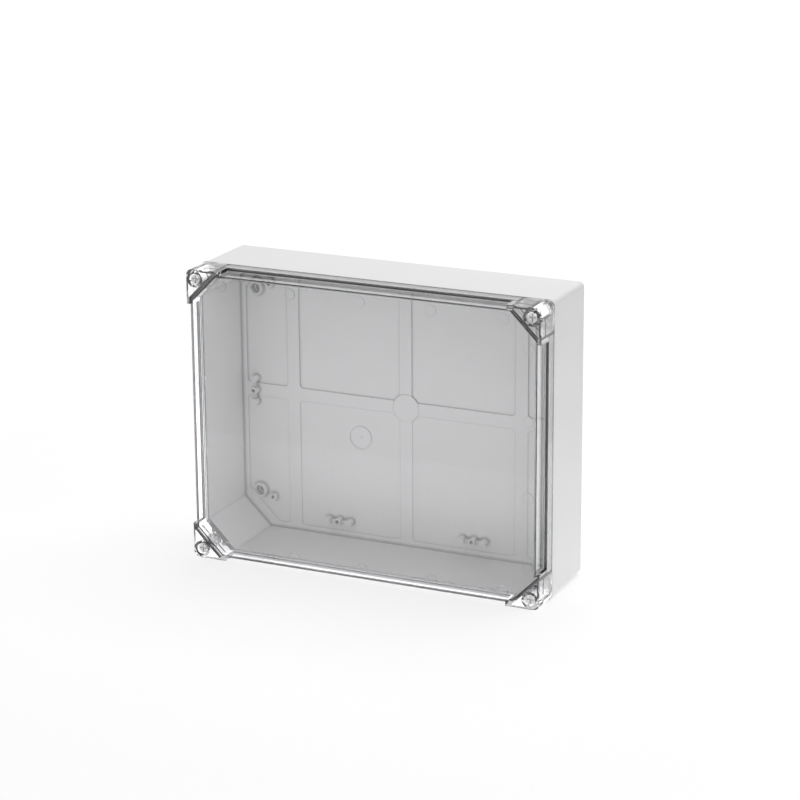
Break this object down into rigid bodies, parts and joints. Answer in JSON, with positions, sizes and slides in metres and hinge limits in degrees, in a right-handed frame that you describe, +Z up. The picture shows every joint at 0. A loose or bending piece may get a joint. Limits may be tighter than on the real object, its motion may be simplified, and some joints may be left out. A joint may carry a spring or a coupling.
{
  "type": "electrical box",
  "caption": "Wall-mounting moulded enclosure for circuit modules: light grey base, deep clear lid with hollow corner pads, seal and captive screws.",
  "frame": {"origin": "centre of the flat back face, which lies against the wall", "axes": "X along the long side, Z up along the short side, front towards -Y"},
  "size_m": [0.396, 0.1175, 0.316],
  "materials": {
    "grey_moulding": "fine moulded texture, light grey",
    "clear_moulding": "clear moulded polycarbonate",
    "seal": "foamed seal, dark grey",
    "screw": "moulded nylon, off-white"
  },
  "bodies": {
    "housing": {"base": "grey_moulding"},
    "cover": {"lid": "clear_moulding", "gasket": "seal"},
    "screw_tl": {"screw_top_left": "screw"},
    "screw_tr": {"screw_top_right": "screw"},
    "screw_bl": {"screw_bottom_left": "screw"},
    "screw_br": {"screw_bottom_right": "screw"}
  },
  "joints": [
    {"name": "lid_lift", "type": "slide", "parent": "housing", "child": "cover", "axis": [0, -1, 0], "range_m": [0, 0.06]},
    {"name": "turn_tl", "type": "hinge", "parent": "cover", "child": "screw_tl", "pos_m": [-0.1872, -0.1155, 0.1472], "axis": [0, -1, 0], "range_deg": [0, 90]},
    {"name": "turn_tr", "type": "hinge", "parent": "cover", "child": "screw_tr", "pos_m": [0.1872, -0.1155, 0.1472], "axis": [0, -1, 0], "range_deg": [0, 90]},
    {"name": "turn_bl", "type": "hinge", "parent": "cover", "child": "screw_bl", "pos_m": [-0.1872, -0.1155, -0.1472], "axis": [0, -1, 0], "range_deg": [0, 90]},
    {"name": "turn_br", "type": "hinge", "parent": "cover", "child": "screw_br", "pos_m": [0.1872, -0.1155, -0.1472], "axis": [0, -1, 0], "range_deg": [0, 90]}
  ]
}
